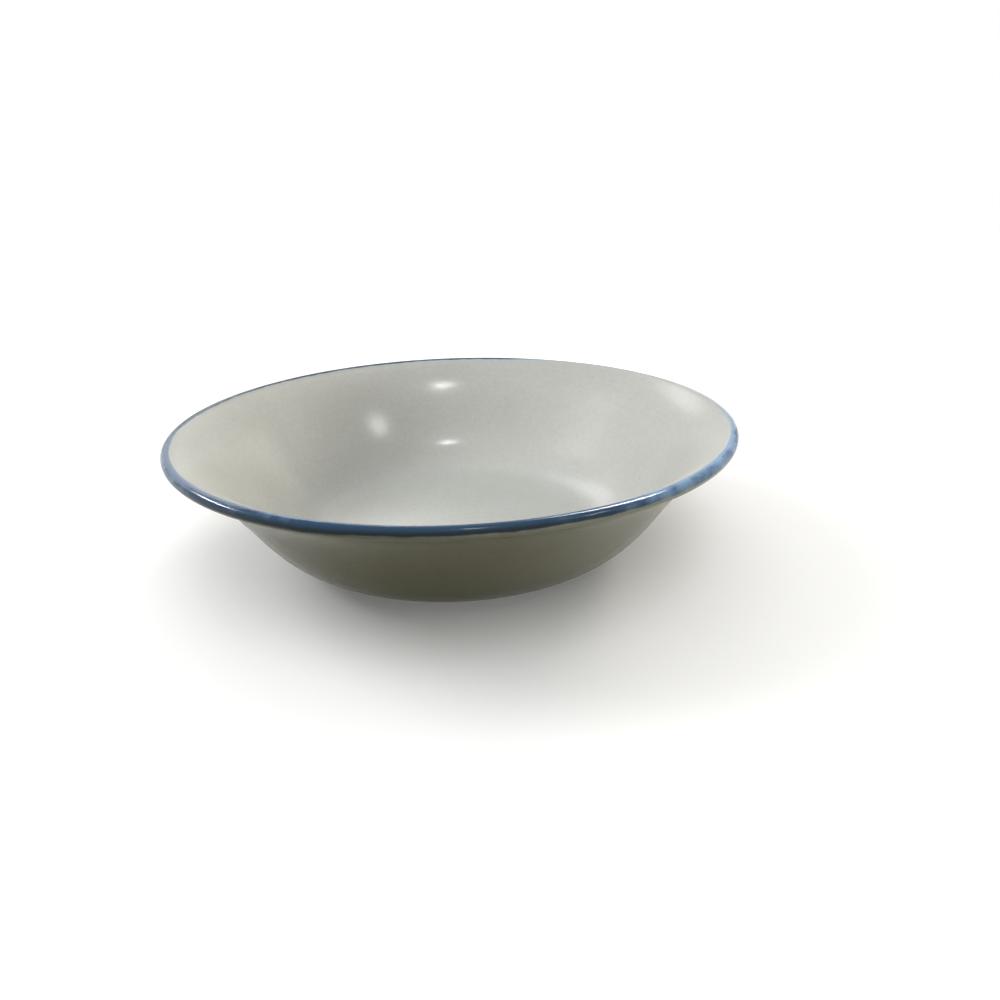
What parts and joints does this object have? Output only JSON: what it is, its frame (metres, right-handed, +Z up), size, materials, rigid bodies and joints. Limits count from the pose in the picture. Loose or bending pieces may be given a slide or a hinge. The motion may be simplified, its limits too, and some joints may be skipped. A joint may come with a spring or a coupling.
{
  "type": "serving bowl",
  "caption": "Wide, shallow round serving bowl of glazed stoneware with an everted rim, a coloured band round the lip and a low foot ring.",
  "frame": {"origin": "on the bowl's axis, in the plane of the foot ring's standing face", "axes": "+Z up along the bowl's axis, out of its mouth; X and Y lie in the plane that it stands on"},
  "size_m": [0.254, 0.254, 0.062],
  "materials": {
    "stoneware": "unglazed, matt",
    "white_glaze": "glossy",
    "band_glaze": "glossy, brushed on"
  },
  "bodies": {
    "root": {"clay_body": "stoneware", "inside_glaze": "white_glaze", "outside_glaze": "white_glaze", "rim_band": "band_glaze", "foot_recess_glaze": "white_glaze"}
  },
  "joints": []
}
